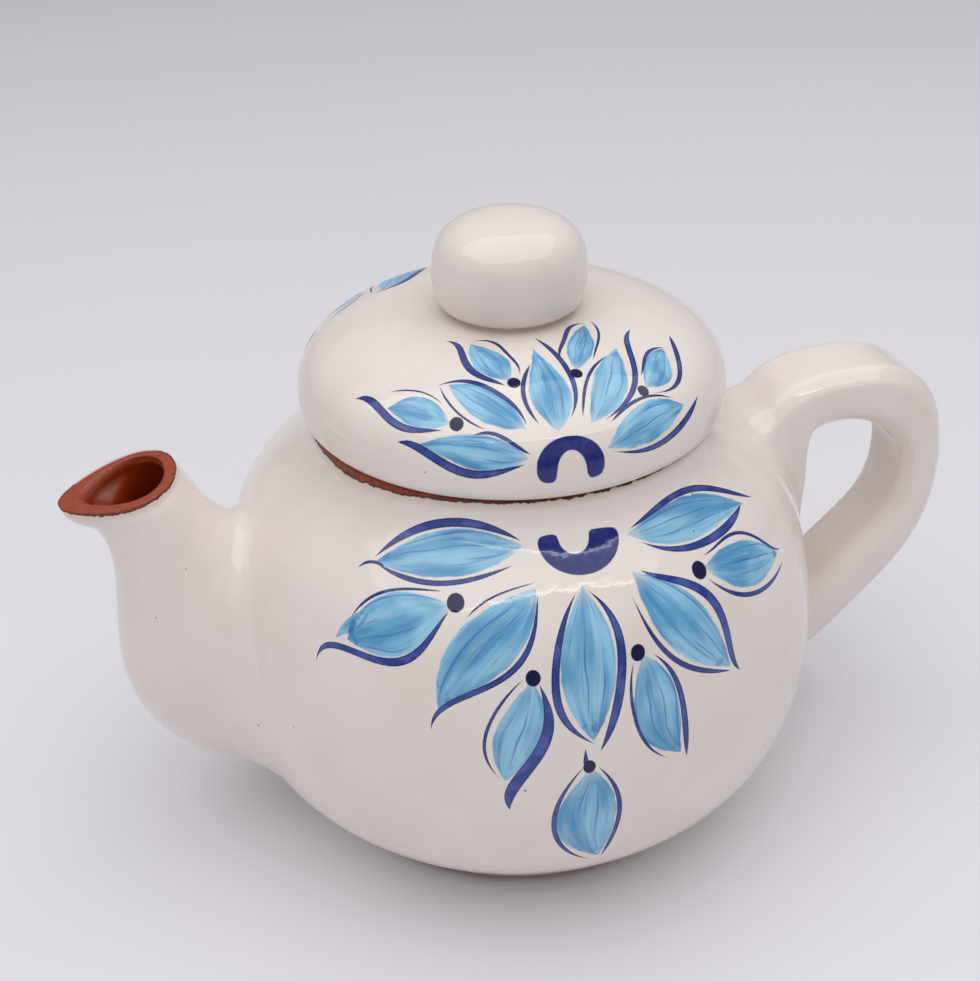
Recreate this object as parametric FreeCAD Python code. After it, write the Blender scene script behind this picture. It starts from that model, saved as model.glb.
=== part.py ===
# A glazed earthenware teapot: pot body, spout, handle, lid and the lid's knob, each its own piece of clay.
# Millimetres. +Z is up, the origin is the middle of the foot on the table.
# The spout points along -X, the handle along +X, and the painted front faces -Y.
import FreeCAD
import Part
import math
import os

from FreeCAD import Vector

# Pot body
body_radius = 75.0          # at the belly
belly_height = 45.4         # where the belly is widest
foot_radius = 50.0          # the flat base that it stands on
seat_height = 110.0         # flat ring that carries the lid
seat_radius = 48.6          # outer edge of that ring
mouth_radius = 42.0         # the opening that the lid's flange drops into
body_wall = 4.5
floor_thickness = 6.5

# Outline of the body between foot, belly and seat: share of the height, share of the swell
LOWER_OUTLINE_SHARES = ((0.19, 0.30), (0.525, 0.80))
UPPER_OUTLINE_SHARES = ((0.38, 0.913), (0.69, 0.595), (0.845, 0.21), (0.93, 0.05))

# Strainer: a hexagon of small holes pierced through the body behind the spout
strainer_hole = 5.0
strainer_pitch = 10.0
strainer_rings = 1                  # rings of holes round the middle one

# Spout, seen from the side: distances stand out from the belly, heights from the table
spout_low = (-16.0, 13.0)           # lower edge, just inside the body
spout_belly = (18.7, 31.9)
spout_front = (25.6, 51.5)
spout_neck = (23.4, 86.2)
spout_tip = (32.7, 98.5)            # the pouring lip
spout_top = (-20.0, 86.5)           # upper edge, inside the body
spout_crotch = (-11.9, 86.2)
spout_throat = (-3.7, 89.7)
spout_back = (0.6, 95.3)
spout_heel = (5.4, 104.1)           # back of the mouth
spout_base_width = 50.0
spout_waist_width = 37.2
spout_mouth_width = 23.4
spout_wall = 4.5
spout_rim = 2.6                     # wall at the mouth's edge
spout_lip = 5.0                     # wall at the pouring lip

# Handle: a strap bent round two fingers
handle_root_top = (-15.0, 88.0)     # the middle of the strap, inside the body
handle_shoulder = (-2.0, 96.6)
handle_crown = (12.5, 100.4)
handle_corner = (24.8, 97.0)
handle_bow = (32.7, 73.0)
handle_bend = (28.2, 55.8)
handle_slope = (2.5, 29.3)
handle_root_low = (-21.0, 17.5)
handle_thickness = 13.6
handle_width = 22.6
handle_rounding = 5.4               # radius on the strap's long edges
handle_flare_share = 0.22           # how much the strap grows where it is luted on

# Lid
lid_radius = 50.6
lid_edge_height = 3.4               # from the seat to the lid's widest line
lid_dome_height = 19.9              # from there to the flat pad under the knob
dome_fullness = 2.8                 # 2 is a plain ellipse, more is fuller
lid_wall = 5.0
lid_top_pad = 11.0                  # flat pad that the knob sits on
lid_edge_roll = 3.1                 # radius under the lid's edge
flange_depth = 12.0                 # how far the locating flange reaches into the pot
flange_wall = 4.0
flange_clearance = 1.0              # between the flange and the pot's mouth

# Knob
knob_radius = 17.9
knob_belly = 7.5                    # from the pad to the knob's widest line
knob_crown = 14.5                   # from there to its top
knob_fullness = 2.8

AXIS = Vector(0, 0, 1)
UNDERCUT = Vector(1, 0, 0.35)       # the way the knob's underside leaves the pad
CENTRE = Vector(0, 0, 0)
FULL_TURN = 360.0
SPOUT_SECTIONS = 11
HANDLE_SECTIONS = 23
RIM_POWER = 4                       # how late the spout's wall thins towards the mouth
FLARE_POWER = 8                     # how late the strap grows towards its roots
ROUNDING_LIMIT = 0.95               # the strap's edge radius, at most, as a share of half its thickness
HEXAGON_ROW = math.sqrt(0.75)       # height of a row of holes over their pitch
DOME_STEPS = 7                      # points on each rounded outline


def at(radius, height):
    """A point of a turned outline."""
    return Vector(radius, 0, height)


def smooth(points, start=None, end=None):
    """A smooth curve through the points, with its direction given at the ends where that matters."""
    curve = Part.BSplineCurve()
    if start and end:
        curve.interpolate(Points=points, InitialTangent=start, FinalTangent=end)
    else:
        curve.interpolate(points)
    return curve


def line(start, end):
    return Part.LineSegment(start, end).toShape()


def turned(edges):
    """The solid that a closed outline sweeps round the pot's axis."""
    face = Part.Face(Part.Wire(Part.__sortEdges__(edges)))
    return face.revolve(CENTRE, AXIS, FULL_TURN)


def swelling(foot, foot_z, belly, top, top_z):
    """The pot's side from the foot over the belly to the seat."""
    points = [at(foot, foot_z)]
    for rise, swell in LOWER_OUTLINE_SHARES:
        points.append(at(foot + swell * (belly - foot), foot_z + rise * (belly_height - foot_z)))
    points.append(at(belly, belly_height))
    for rise, swell in UPPER_OUTLINE_SHARES:
        points.append(at(top + swell * (belly - top), belly_height + rise * (top_z - belly_height)))
    points.append(at(top, top_z))
    return smooth(points)


def dome_points(radius, base_z, rise, fullness, pad):
    """Points of a full dome from its widest line up to the edge of its flat pad."""
    last = math.acos(min(1.0, pad / radius) ** (fullness / 2.0))
    points = []
    for step in range(DOME_STEPS + 1):
        angle = last * step / DOME_STEPS
        out = radius * math.cos(angle) ** (2.0 / fullness)
        up = rise * math.sin(angle) ** (2.0 / fullness) if step else 0.0
        points.append(at(out, base_z + up))
    return points


def pot_outside():
    """The pot as one full lump, which the spout and the handle are trimmed against."""
    side = swelling(foot_radius, 0, body_radius, seat_radius, seat_height)
    edges = [
        side.toShape(),
        line(at(seat_radius, seat_height), at(0, seat_height)),
        line(at(0, seat_height), at(0, 0)),
        line(at(0, 0), at(foot_radius, 0)),
    ]
    return turned(edges)


def pot_inside():
    """The hollow of the pot, up through its mouth."""
    corner = foot_radius - body_wall
    side = swelling(corner, floor_thickness, body_radius - body_wall, mouth_radius, seat_height)
    edges = [
        side.toShape(),
        line(at(mouth_radius, seat_height), at(0, seat_height)),
        line(at(0, seat_height), at(0, floor_thickness)),
        line(at(0, floor_thickness), at(corner, floor_thickness)),
    ]
    return turned(edges)


def spout_edges():
    """The spout's outer and inner edges in the pot's plane of symmetry."""
    def curve(names):
        return smooth([at(-(body_radius + out), up) for out, up in names])

    outer = curve((spout_low, spout_belly, spout_front, spout_neck, spout_tip))
    inner = curve((spout_top, spout_crotch, spout_throat, spout_back, spout_heel))
    return outer, inner


def along(curve, share):
    """The point at a share of a curve's length in its own parameter."""
    first, last = curve.FirstParameter, curve.LastParameter
    return curve.value(first + share * (last - first))


def spout_half_width(share):
    """Half the spout's width, drawn in from its base over the waist to the mouth."""
    widths = smooth([
        Vector(0, 0, spout_base_width / 2),
        Vector(0.5, 0, spout_waist_width / 2),
        Vector(1, 0, spout_mouth_width / 2),
    ])
    return along(widths, share).z


def spout_rings(inset):
    """Oval cross-sections from the base to the mouth, of the outside or, inset by the wall, of the bore."""
    outer, inner = spout_edges()
    rings = []
    for step in range(SPOUT_SECTIONS):
        share = step / (SPOUT_SECTIONS - 1)
        low, high = along(outer, share), along(inner, share)
        side = spout_half_width(share)
        if inset:
            near_mouth = share ** RIM_POWER
            wall = spout_wall + near_mouth * (spout_rim - spout_wall)
            lip = spout_wall + near_mouth * (spout_lip - spout_wall)
            inward = (high - low).normalize()
            low, high, side = low + inward * lip, high - inward * wall, side - wall
        rings.append(ring_wire(low, high, side))
    return rings


def ring_wire(low, high, side):
    """One oval across the spout: a round ring stretched, so that its seam stays on the outer edge."""
    middle = (low + high) * 0.5
    reach = (low - high) * 0.5
    normal = reach.cross(Vector(0, 1, 0)).normalize()
    stretch = FreeCAD.Matrix(
        reach.x, 0, normal.x, middle.x,
        0, side, 0, 0,
        reach.z, 0, normal.z, middle.z,
        0, 0, 0, 1)
    return Part.Wire(Part.makeCircle(1).transformGeometry(stretch).Edges)


def spout_solid():
    """The spout's wall: an outside, a bore, and a flat ring at each end."""
    outside, bore = spout_rings(False), spout_rings(True)
    faces = Part.makeLoft(outside, False).Faces
    faces += [face.reversed() for face in Part.makeLoft(bore, False).Faces]
    for end in (0, -1):
        faces.append(Part.Face([outside[end], bore[end].reversed()]))
    shell = Part.makeShell(faces)
    shell.sewShape()
    return Part.makeSolid(shell)


def strap_section(middle, outward, size):
    """A rounded rectangle across the handle."""
    across = Vector(0, 1, 0)
    half_t, half_w = size * handle_thickness / 2, size * handle_width / 2
    radius = min(size * handle_rounding, ROUNDING_LIMIT * min(half_t, half_w))

    def place(w, t):
        return middle + across * w + outward * t

    edges = []
    corner = radius * (1 - math.sqrt(0.5))
    signs = ((1, 1), (-1, 1), (-1, -1), (1, -1))
    for index, (sw, st) in enumerate(signs):
        beside = place(sw * half_w, st * (half_t - radius))
        above = place(sw * (half_w - radius), st * half_t)
        bulge = place(sw * (half_w - corner), st * (half_t - corner))
        start, end = (beside, above) if index % 2 == 0 else (above, beside)
        edges.append(Part.Arc(start, bulge, end).toShape())
        nw, nt = signs[(index + 1) % len(signs)]
        if index % 2 == 0:
            following = place(nw * (half_w - radius), nt * half_t)
        else:
            following = place(nw * half_w, nt * (half_t - radius))
        edges.append(line(end, following))
    return Part.Wire(edges)


def handle_loft():
    """The bent strap, from inside the body's shoulder to inside its lower side."""
    route = (
        handle_root_top, handle_shoulder, handle_crown, handle_corner,
        handle_bow, handle_bend, handle_slope, handle_root_low,
    )
    path = smooth([at(body_radius + out, up) for out, up in route])
    first, last = path.FirstParameter, path.LastParameter
    sections = []
    for step in range(HANDLE_SECTIONS):
        share = step / (HANDLE_SECTIONS - 1)
        spot = first + share * (last - first)
        forward = path.tangent(spot)[0]
        outward = Vector(-forward.z, 0, forward.x)
        size = 1 + handle_flare_share * (2 * share - 1) ** FLARE_POWER
        sections.append(strap_section(path.value(spot), outward, size))
    return Part.makeLoft(sections, True)


def strainer_holes():
    """Small round holes along X through the wall that the spout covers."""
    holes = []
    depth = body_radius + body_wall
    middle_z = (spout_low[1] + spout_crotch[1]) / 2
    for row in range(-strainer_rings, strainer_rings + 1):
        in_row = 2 * strainer_rings + 1 - abs(row)
        up = middle_z + row * strainer_pitch * HEXAGON_ROW
        for place in range(in_row):
            side = (place - (in_row - 1) / 2) * strainer_pitch
            start = Vector(0, side, up)
            holes.append(Part.makeCylinder(strainer_hole / 2, depth, start, Vector(-1, 0, 0)))
    return holes


def lid_solid():
    """A hollow dome with a rolled edge, a flat underside and a locating flange."""
    edge_z = seat_height + lid_edge_height
    pad_z = edge_z + lid_dome_height
    flange_out = mouth_radius - flange_clearance
    flange_in = flange_out - flange_wall
    flange_z = seat_height - flange_depth
    dome = smooth(dome_points(lid_radius, edge_z, lid_dome_height, dome_fullness, lid_top_pad),
                  Vector(0, 0, 1), Vector(-1, 0, 0))
    pad_edge = dome.EndPoint
    roll_in = lid_radius - lid_edge_roll
    roll = smooth([at(roll_in, seat_height), at(lid_radius, edge_z)], Vector(1, 0, 0), Vector(0, 0, 1))
    hollow_radius = lid_radius - lid_wall
    plate_z = seat_height + lid_wall
    hollow_top = pad_edge.z - lid_wall
    hollow = smooth(dome_points(hollow_radius, plate_z, hollow_top - plate_z, dome_fullness, lid_top_pad),
                    Vector(0, 0, 1), Vector(-1, 0, 0))
    edges = [
        line(at(0, pad_edge.z), pad_edge),
        dome.toShape(),
        roll.toShape(),
        line(at(roll_in, seat_height), at(flange_out, seat_height)),
        line(at(flange_out, seat_height), at(flange_out, flange_z)),
        line(at(flange_out, flange_z), at(flange_in, flange_z)),
        line(at(flange_in, flange_z), at(flange_in, plate_z)),
        line(at(flange_in, plate_z), at(hollow_radius, plate_z)),
        hollow.toShape(),
        line(hollow.EndPoint, at(0, hollow.EndPoint.z)),
        line(at(0, hollow.EndPoint.z), at(0, pad_edge.z)),
    ]
    return turned(edges), pad_edge.z


def knob_solid(pad_z):
    """A full round knob, flat where it is luted to the lid's pad."""
    belly_z = pad_z + knob_belly
    crown = smooth(dome_points(knob_radius, belly_z, knob_crown, knob_fullness, 0),
                   Vector(0, 0, 1), Vector(-1, 0, 0))
    under = smooth([at(lid_top_pad, pad_z), at(knob_radius, belly_z)], UNDERCUT, Vector(0, 0, 1))
    edges = [
        under.toShape(),
        crown.toShape(),
        line(crown.EndPoint, at(0, pad_z)),
        line(at(0, pad_z), at(lid_top_pad, pad_z)),
    ]
    return turned(edges)


lump = pot_outside()
pot_body = lump.cut(pot_inside()).cut(strainer_holes())
spout = spout_solid().cut(lump)
handle = handle_loft().cut(lump)
lid, lid_top = lid_solid()
lid_knob = knob_solid(lid_top)

pieces = {"pot_body": pot_body, "spout": spout, "handle": handle, "lid": lid, "lid_knob": lid_knob}
os.makedirs("parts", exist_ok=True)
for name, shape in pieces.items():
    solids = shape.Solids
    print(name, "solids", len(solids), "valid", shape.isValid(), "volume in mm3", round(shape.Volume))
    solids[0].exportStep(f"parts/{name}.step")
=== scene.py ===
# %% [markdown]
# # A hand-painted earthenware teapot
# The frame holds five pieces of clay: the pot body, its spout, its handle, the lid and the lid's knob. This
# lesson dresses each of them in a skin of its own that follows the solid and adds what a potter and a
# painter leave behind: luted joints smoothed with a finger, rounded edges, a cream glaze that stops short
# of the edges, and a flower in blue brush strokes. Everything is in metres in the frame's own axes: the
# spout points to -X, the painted front to -Y.

# %% Load the frame
import math

import bmesh
import bpy
import numpy as np
from mathutils import Matrix, Quaternion, Vector


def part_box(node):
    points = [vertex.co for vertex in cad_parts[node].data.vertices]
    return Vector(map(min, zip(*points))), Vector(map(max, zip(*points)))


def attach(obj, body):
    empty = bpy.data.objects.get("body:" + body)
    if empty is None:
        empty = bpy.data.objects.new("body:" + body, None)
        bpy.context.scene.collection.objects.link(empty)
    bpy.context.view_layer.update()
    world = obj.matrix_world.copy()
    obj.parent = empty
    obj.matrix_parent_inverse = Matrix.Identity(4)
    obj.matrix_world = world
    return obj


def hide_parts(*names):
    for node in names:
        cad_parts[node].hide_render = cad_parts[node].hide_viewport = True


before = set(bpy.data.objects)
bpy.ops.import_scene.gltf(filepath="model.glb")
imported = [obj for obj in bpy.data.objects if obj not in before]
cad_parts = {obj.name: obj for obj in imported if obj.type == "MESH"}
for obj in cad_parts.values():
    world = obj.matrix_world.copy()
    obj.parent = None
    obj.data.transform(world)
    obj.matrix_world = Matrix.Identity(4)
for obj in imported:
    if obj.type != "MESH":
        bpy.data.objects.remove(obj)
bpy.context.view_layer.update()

MM = 0.001
body_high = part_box("pot_body")[1]
lid_low, lid_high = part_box("lid")
knob_low, knob_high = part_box("lid_knob")

# %% [markdown]
# ## Smooth lines
# Every outline on a teapot is a hand's sweep, so a few points and a smooth curve say it all. Blender's own
# curves could be sampled for this, but the solver below is short and gives the curve at any share of its
# length, which the spout and the handle need. It is the natural cubic spline: the line that a thin bent
# lath takes through the points.

# %% A smooth curve through points
def smooth(points):
    """A function that gives the point at a share, from 0 to 1, of a smooth curve through the points."""
    points = np.array(points, float)
    spans = np.linalg.norm(np.diff(points, axis=0), axis=1)
    knots = np.concatenate([[0.0], np.cumsum(spans)])
    count = len(points)
    system = np.eye(count)
    target = np.zeros_like(points)
    for i in range(1, count - 1):
        system[i, i - 1:i + 2] = spans[i - 1], 2 * (spans[i - 1] + spans[i]), spans[i]
        target[i] = 6 * ((points[i + 1] - points[i]) / spans[i] - (points[i] - points[i - 1]) / spans[i - 1])
    bending = np.linalg.solve(system, target)

    def at(share):
        place = np.clip(np.asarray(share, float), 0, 1) * knots[-1]
        i = np.clip(np.searchsorted(knots, place, side="right") - 1, 0, count - 2)
        after = (place - knots[i]) / spans[i]
        before = 1 - after
        weight = (spans[i] ** 2 / 6)[..., None]
        straight = before[..., None] * points[i] + after[..., None] * points[i + 1]
        pull_before, pull_after = before ** 3 - before, after ** 3 - after
        bent = pull_before[..., None] * bending[i] + pull_after[..., None] * bending[i + 1]
        return straight + weight * bent

    return at


def rounded(points, radii, steps=6):
    """The corners of an open outline, each replaced by an arc-like bend of its own radius."""
    points = [np.array(p, float) for p in points]
    line = [points[0]]
    for before, corner, after, radius in zip(points, points[1:], points[2:], radii):
        inward = before - corner
        outward = after - corner
        if radius == 0:
            line.append(corner)
            continue
        start = corner + inward / np.linalg.norm(inward) * radius
        end = corner + outward / np.linalg.norm(outward) * radius
        for step in range(steps + 1):
            t = step / steps
            line.append((1 - t) ** 2 * start + 2 * t * (1 - t) * corner + t ** 2 * end)
    line.append(points[-1])
    return np.array(line)


print("a lath through three points sags to", smooth([(0, 0), (1, 1), (2, 0)])(0.25).round(3))

# %% [markdown]
# ## Skins from rings
# A pot is a stack of rings, and so are a spout and a handle. One function turns rings of points into a
# closed skin and remembers for each point how far it lies past the edge of the glaze, in millimetres. The
# glaze later reads that value, named `bare`, so that its ragged edge is drawn by the material and not by
# the mesh. A second value, `inside`, says where the clay has only a thin brown glaze: in the bore, inside
# the pot and under the lid.

# %% From rings to a mesh
same_point = 1e-7
FULLY_BARE = 6.0
FULLY_GLAZED = -9.0


def skin(name, rings, bare, inside):
    """A closed mesh through rings of points. A ring of one point closes an end."""
    starts = np.concatenate([[0], np.cumsum([len(ring) for ring in rings])])
    points = np.concatenate([np.asarray(ring, float).reshape(-1, 3) for ring in rings])
    faces = []
    for lower in range(len(rings) - 1):
        a, b = len(rings[lower]), len(rings[lower + 1])
        low, high = starts[lower], starts[lower + 1]
        for i in range(max(a, b)):
            j = (i + 1) % max(a, b)
            corners = [low + i % a, low + j % a, high + j % b, high + i % b]
            faces.append(list(dict.fromkeys(int(c) for c in corners)))
    mesh = bpy.data.meshes.new(name)
    mesh.from_pydata(points.tolist(), [], faces)
    for label, values in (("bare", bare), ("inside", inside)):
        per_point = [np.broadcast_to(value, len(ring)) for value, ring in zip(values, rings)]
        layer = mesh.attributes.new(label, "FLOAT", "POINT")
        layer.data.foreach_set("value", np.concatenate(per_point).astype(np.float32))
    shell = bmesh.new()
    shell.from_mesh(mesh)
    bmesh.ops.remove_doubles(shell, verts=shell.verts, dist=same_point)
    bmesh.ops.recalc_face_normals(shell, faces=shell.faces)
    shell.to_mesh(mesh)
    shell.free()
    mesh.shade_smooth()
    piece = bpy.data.objects.new(name, mesh)
    bpy.context.scene.collection.objects.link(piece)
    print(name, "has", len(mesh.polygons), "faces")
    return piece


print("points closer than", round(same_point / MM, 6), "mm are stitched together")

# %% [markdown]
# What is thrown on the wheel is an outline turned round the axis. A Screw modifier does that too, but here
# each ring also has to say where its glaze stops. A finished skin takes the place of its solid and moves
# with the solid's body.

# %% Turning and dressing
on_axis = 1e-6


def turned(profile, segments):
    """Rings of a profile of radius and height, turned on the wheel."""
    turn = np.linspace(0, 2 * math.pi, segments, endpoint=False)
    rings = []
    for radius, height in profile:
        if radius < on_axis:
            rings.append(np.array([[0, 0, height]]))
        else:
            level = np.full(segments, height)
            rings.append(np.stack([radius * np.cos(turn), radius * np.sin(turn), level], axis=1))
    return rings


def dress(piece, node, body):
    """Puts a skin in the place of its solid."""
    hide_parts(node)
    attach(piece, body)


print("a point on the axis makes a ring of", len(turned([(0, 0)], 8)[0]))

# %% [markdown]
# ## The pot body
# The body is thrown on a wheel: a foot, a full belly, a shoulder that draws in quickly and a short upright
# collar with a flat seat for the lid. Its outline has few points, as shares of the height and of the swell,
# so it follows the frame. The wall inside is another such outline. A turned skin keeps the reflections in
# the glaze clean, which a remeshed or subdivided body would not.

# %% The body's outline
foot_radius = 50 * MM
seat_radius = 48.6 * MM
mouth_radius = 42 * MM
belly_height = 45.4 * MM
body_wall = 4.5 * MM
floor_thickness = 6.5 * MM
belly_radius = body_high.x
seat_height = body_high.z
LOWER_OUTLINE = ((0.19, 0.30), (0.525, 0.80))
UPPER_OUTLINE = ((0.38, 0.913), (0.69, 0.595), (0.845, 0.21), (0.93, 0.05))


def swelling(foot, foot_z, belly, top, top_z, count):
    """The pot's side from the foot over the belly to the seat."""
    lower, upper = belly_height - foot_z, top_z - belly_height
    points = [(foot, foot_z)]
    points += [(foot + out * (belly - foot), foot_z + up * lower) for up, out in LOWER_OUTLINE]
    points.append((belly, belly_height))
    points += [(top + out * (belly - top), belly_height + up * upper) for up, out in UPPER_OUTLINE]
    points.append((top, top_z))
    return smooth(points)(np.linspace(0, 1, count))


print("belly", round(belly_radius / MM, 1), "mm, seat at", round(seat_height / MM, 1), "mm")

# %% [markdown]
# The spout and the handle are laid onto this outline later. Two helpers find the body's nearest point and
# the way it faces there, and how far a point stands off the body. A shrinkwrap would do the first, but only
# once the mesh is made.

# %% The body's surface
OUTLINE_POINTS = 1200
outside = swelling(foot_radius, 0, belly_radius, seat_radius, seat_height, OUTLINE_POINTS)
slopes = np.gradient(outside, axis=0)
facing = np.stack([slopes[:, 1], -slopes[:, 0]], axis=1)
facing /= np.linalg.norm(facing, axis=1, keepdims=True)


def on_body(points):
    """The nearest points of the body's outside, and the way the surface faces there."""
    points = np.atleast_2d(points)
    out = np.hypot(points[:, 0], points[:, 1])
    gap = (out[:, None] - outside[:, 0]) ** 2 + (points[:, 2, None] - outside[:, 1]) ** 2
    nearest = gap.argmin(axis=1)
    round_about = points[:, :2] / out[:, None]
    feet = np.column_stack([round_about * outside[nearest, 0, None], outside[nearest, 1]])
    normals = np.column_stack([round_about * facing[nearest, 0, None], facing[nearest, 1]])
    return feet, normals


def off_body(points):
    """How far points stand out from the body, along the level: negative is inside."""
    return np.hypot(points[..., 0], points[..., 1]) - np.interp(points[..., 2], outside[:, 1], outside[:, 0])


heart = np.array([0, 0, belly_height])
print("the belly's middle stands off the body by", round(float(off_body(heart)) / MM, 1), "mm")

# %% [markdown]
# The body's skin runs from the middle of the foot over the outside, across the seat, down the inside and
# back to the middle of the floor, with every edge softly rounded as a wet sponge leaves it. Rounding the
# outline before it is turned is cheaper than bevelling the mesh and leaves no seam.

# %% The body's whole outline
edge_round = 1.1 * MM
floor_round = 3 * edge_round
WALL_POINTS = 90
SIDE_STRIDE = 9
side = outside[::SIDE_STRIDE]
wall = swelling(foot_radius - body_wall, floor_thickness, belly_radius - body_wall,
                mouth_radius, seat_height, WALL_POINTS)
half_foot = 0.5 * foot_radius
seat_middle = 0.5 * (seat_radius + mouth_radius)
foot_corner = rounded([(half_foot, 0), (foot_radius, 0), side[2]], [edge_round])
seat_corner = rounded([side[-3], (seat_radius, seat_height), (seat_middle, seat_height)], [edge_round])
mouth_corner = rounded([seat_corner[-1], (mouth_radius, seat_height), wall[-3]], [edge_round])
floor_corner = rounded([wall[2], wall[0], (half_foot, floor_thickness)], [floor_round])
body_profile = np.concatenate([
    [(0, 0)], foot_corner, side[3:-3], seat_corner, mouth_corner[1:], wall[-4:2:-1], floor_corner,
    [(0, floor_thickness)],
])
outer_count = 1 + len(foot_corner) + len(side[3:-3]) + len(seat_corner)
print("the body's outline has", len(body_profile), "points,", outer_count, "of them outside")

# %% [markdown]
# The glaze stops above the foot and just below the seat, which is wiped clean. In one place on the spout's
# side it is drawn further down, so that a band of clay shows under the lid; that band is darkened with the
# seam colour, as painted shade under the lid. No mask has to be painted for this, because each ring knows
# its height.

# %% The body's skin
BODY_SIDES = 256
foot_line = 1.3 * MM
collar_line = 0.5 * MM
collar_lean = 0.9
collar_shade_cap = 0.7
seat_slack = 0.02 * MM
pulled_down = 1.5 * MM
pulled_at = math.radians(60)
pulled_spread = math.radians(20)


def body_bare(ring, outer):
    """How far a ring of the body lies past the glaze, in millimetres, held low on the collar so that the clay
    band under the lid stays dark: painted shade.
    """
    if not outer or ring[0, 2] > seat_height - seat_slack:
        return FULLY_BARE
    lean = 1 - collar_lean * ring[:, 0] / seat_radius
    from_front = np.arctan2(-ring[:, 0], -ring[:, 1])
    pulled = pulled_down * np.exp(-((from_front - pulled_at) / pulled_spread) ** 2)
    over_collar = (ring[:, 2] - (seat_height - collar_line * lean - pulled)) / MM
    under_foot = (foot_line - ring[:, 2]) / MM
    # Capped on the collar, so that the clay band under the lid keeps the dark seam colour as painted shade.
    return np.maximum(np.minimum(over_collar, collar_shade_cap), under_foot)


body_rings = turned(body_profile, BODY_SIDES)
body = skin(
    "teapot_body", body_rings,
    [body_bare(ring, i < outer_count) for i, ring in enumerate(body_rings)],
    [float(i >= outer_count) for i in range(len(body_rings))],
)
dress(body, "pot_body", "pot")

# %% [markdown]
# Behind the spout the wall is pierced with a few round holes that hold back the leaves. They are cut with a
# Boolean, because the holes are real openings that show from inside the pot and down the spout.

# %% The strainer
strainer_hole = 5 * MM
strainer_pitch = 10 * MM
strainer_height = 49.6 * MM
drill_length = 8 * body_wall
DRILL_SIDES = 24
sixth_turn = math.radians(60)
HEXAGON = [(0, 0)] + [(math.cos(sixth_turn * i), math.sin(sixth_turn * i)) for i in range(6)]


def pierce(target):
    """Cuts the strainer's holes through the body's wall."""
    drills = bmesh.new()
    for across, up in HEXAGON:
        place = Vector((-belly_radius, across * strainer_pitch, strainer_height + up * strainer_pitch))
        stand = Matrix.Translation(place) @ Matrix.Rotation(math.radians(90), 4, "Y")
        bmesh.ops.create_cone(drills, cap_ends=True, segments=DRILL_SIDES, radius1=strainer_hole / 2,
                              radius2=strainer_hole / 2, depth=drill_length, matrix=stand)
    mesh = bpy.data.meshes.new("drills")
    drills.to_mesh(mesh)
    drills.free()
    tool = bpy.data.objects.new("drills", mesh)
    bpy.context.scene.collection.objects.link(tool)
    cut = target.modifiers.new("strainer", "BOOLEAN")
    cut.object = tool
    cut.operation = "DIFFERENCE"
    bpy.context.view_layer.update()
    holed = bpy.data.meshes.new_from_object(target.evaluated_get(bpy.context.evaluated_depsgraph_get()))
    target.modifiers.clear()
    target.data = holed
    bpy.data.objects.remove(tool)
    print("strainer:", len(HEXAGON), "holes,", len(holed.polygons), "faces on the body now")


pierce(body)

# %% [markdown]
# ## Luted joints
# A spout and a handle are made apart, scored, stuck on with slip and smoothed with a wet finger, so each
# runs into the body with a soft hollow bend. Blender's bevel can't round a line where two loose meshes
# meet, and a remesh would melt the pieces into one. So each lengthwise line of the spout or handle is
# stopped a finger's width before the body and carried over onto it with a short curve that ends flat on the
# body's own surface.

# %% A soft joint
FREE_RINGS = 80
JOINT_RINGS = 14
finger_bend = 0.58
laid_in = 0.02 * MM
tuck_reach = 3 * MM
tuck_depth = 0.12 * MM


def luted(lines, reach):
    """Lines of points that run into the body, each bent over to lie on it.

    Gives rings from the free end to the joint, and the points where the lines would have entered the body.
    """
    lines = np.asarray(lines, float)
    reach = np.broadcast_to(reach, len(lines))
    entry = np.argmax(off_body(lines) < 0, axis=1)
    lengths = np.concatenate([np.zeros((len(lines), 1)),
                              np.cumsum(np.linalg.norm(np.diff(lines, axis=1), axis=2), axis=1)], axis=1)
    meets, turn_back = [], []
    for line, length, i, back in zip(lines, lengths, entry, reach):
        near, far = off_body(line[i - 1]), off_body(line[i])
        share = near / (near - far)
        meets.append(line[i - 1] + share * (line[i] - line[i - 1]))
        turn_back.append(length[i - 1] + share * (length[i] - length[i - 1]) - back)
    meets = np.array(meets)
    loop_way = np.roll(meets, -1, axis=0) - np.roll(meets, 1, axis=0)
    normals = on_body(meets)[1]
    away = np.cross(loop_way, normals)
    away /= np.linalg.norm(away, axis=1, keepdims=True)
    if np.mean(np.sum(away * (meets - meets.mean(axis=0)), axis=1)) < 0:
        away = -away
    reach = reach[:, None]
    landing, landing_normals = on_body(meets + reach * away)
    last_way = landing - meets
    last_way -= landing_normals * np.sum(last_way * landing_normals, axis=1, keepdims=True)
    last_way /= np.linalg.norm(last_way, axis=1, keepdims=True)
    tucked, tucked_normals = on_body(meets + (reach + tuck_reach) * away)

    stations = np.linspace(0, 1, FREE_RINGS)
    straight = np.empty((len(lines), FREE_RINGS, 3))
    for k, (line, length, stop) in enumerate(zip(lines, lengths, turn_back)):
        for axis in range(3):
            straight[k, :, axis] = np.interp(stations * stop, length, line[:, axis])
    leave = straight[:, -1]
    leave_way = straight[:, -1] - straight[:, -2]
    leave_way /= np.linalg.norm(leave_way, axis=1, keepdims=True)
    pull = finger_bend * reach
    guides = (leave, leave + pull * leave_way, landing - pull * last_way, landing - laid_in * landing_normals)
    rings = [straight[:, i] for i in range(FREE_RINGS)]
    for step in range(1, JOINT_RINGS + 1):
        t = step / JOINT_RINGS
        weights = ((1 - t) ** 3, 3 * t * (1 - t) ** 2, 3 * t * t * (1 - t), t ** 3)
        rings.append(sum(weight * guide for weight, guide in zip(weights, guides)))
    rings.append(tucked - tuck_depth * tucked_normals)
    return rings, meets


print("a luted joint is bent over in", JOINT_RINGS, "rings and tucked", tuck_depth / MM, "mm into the body")

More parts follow.
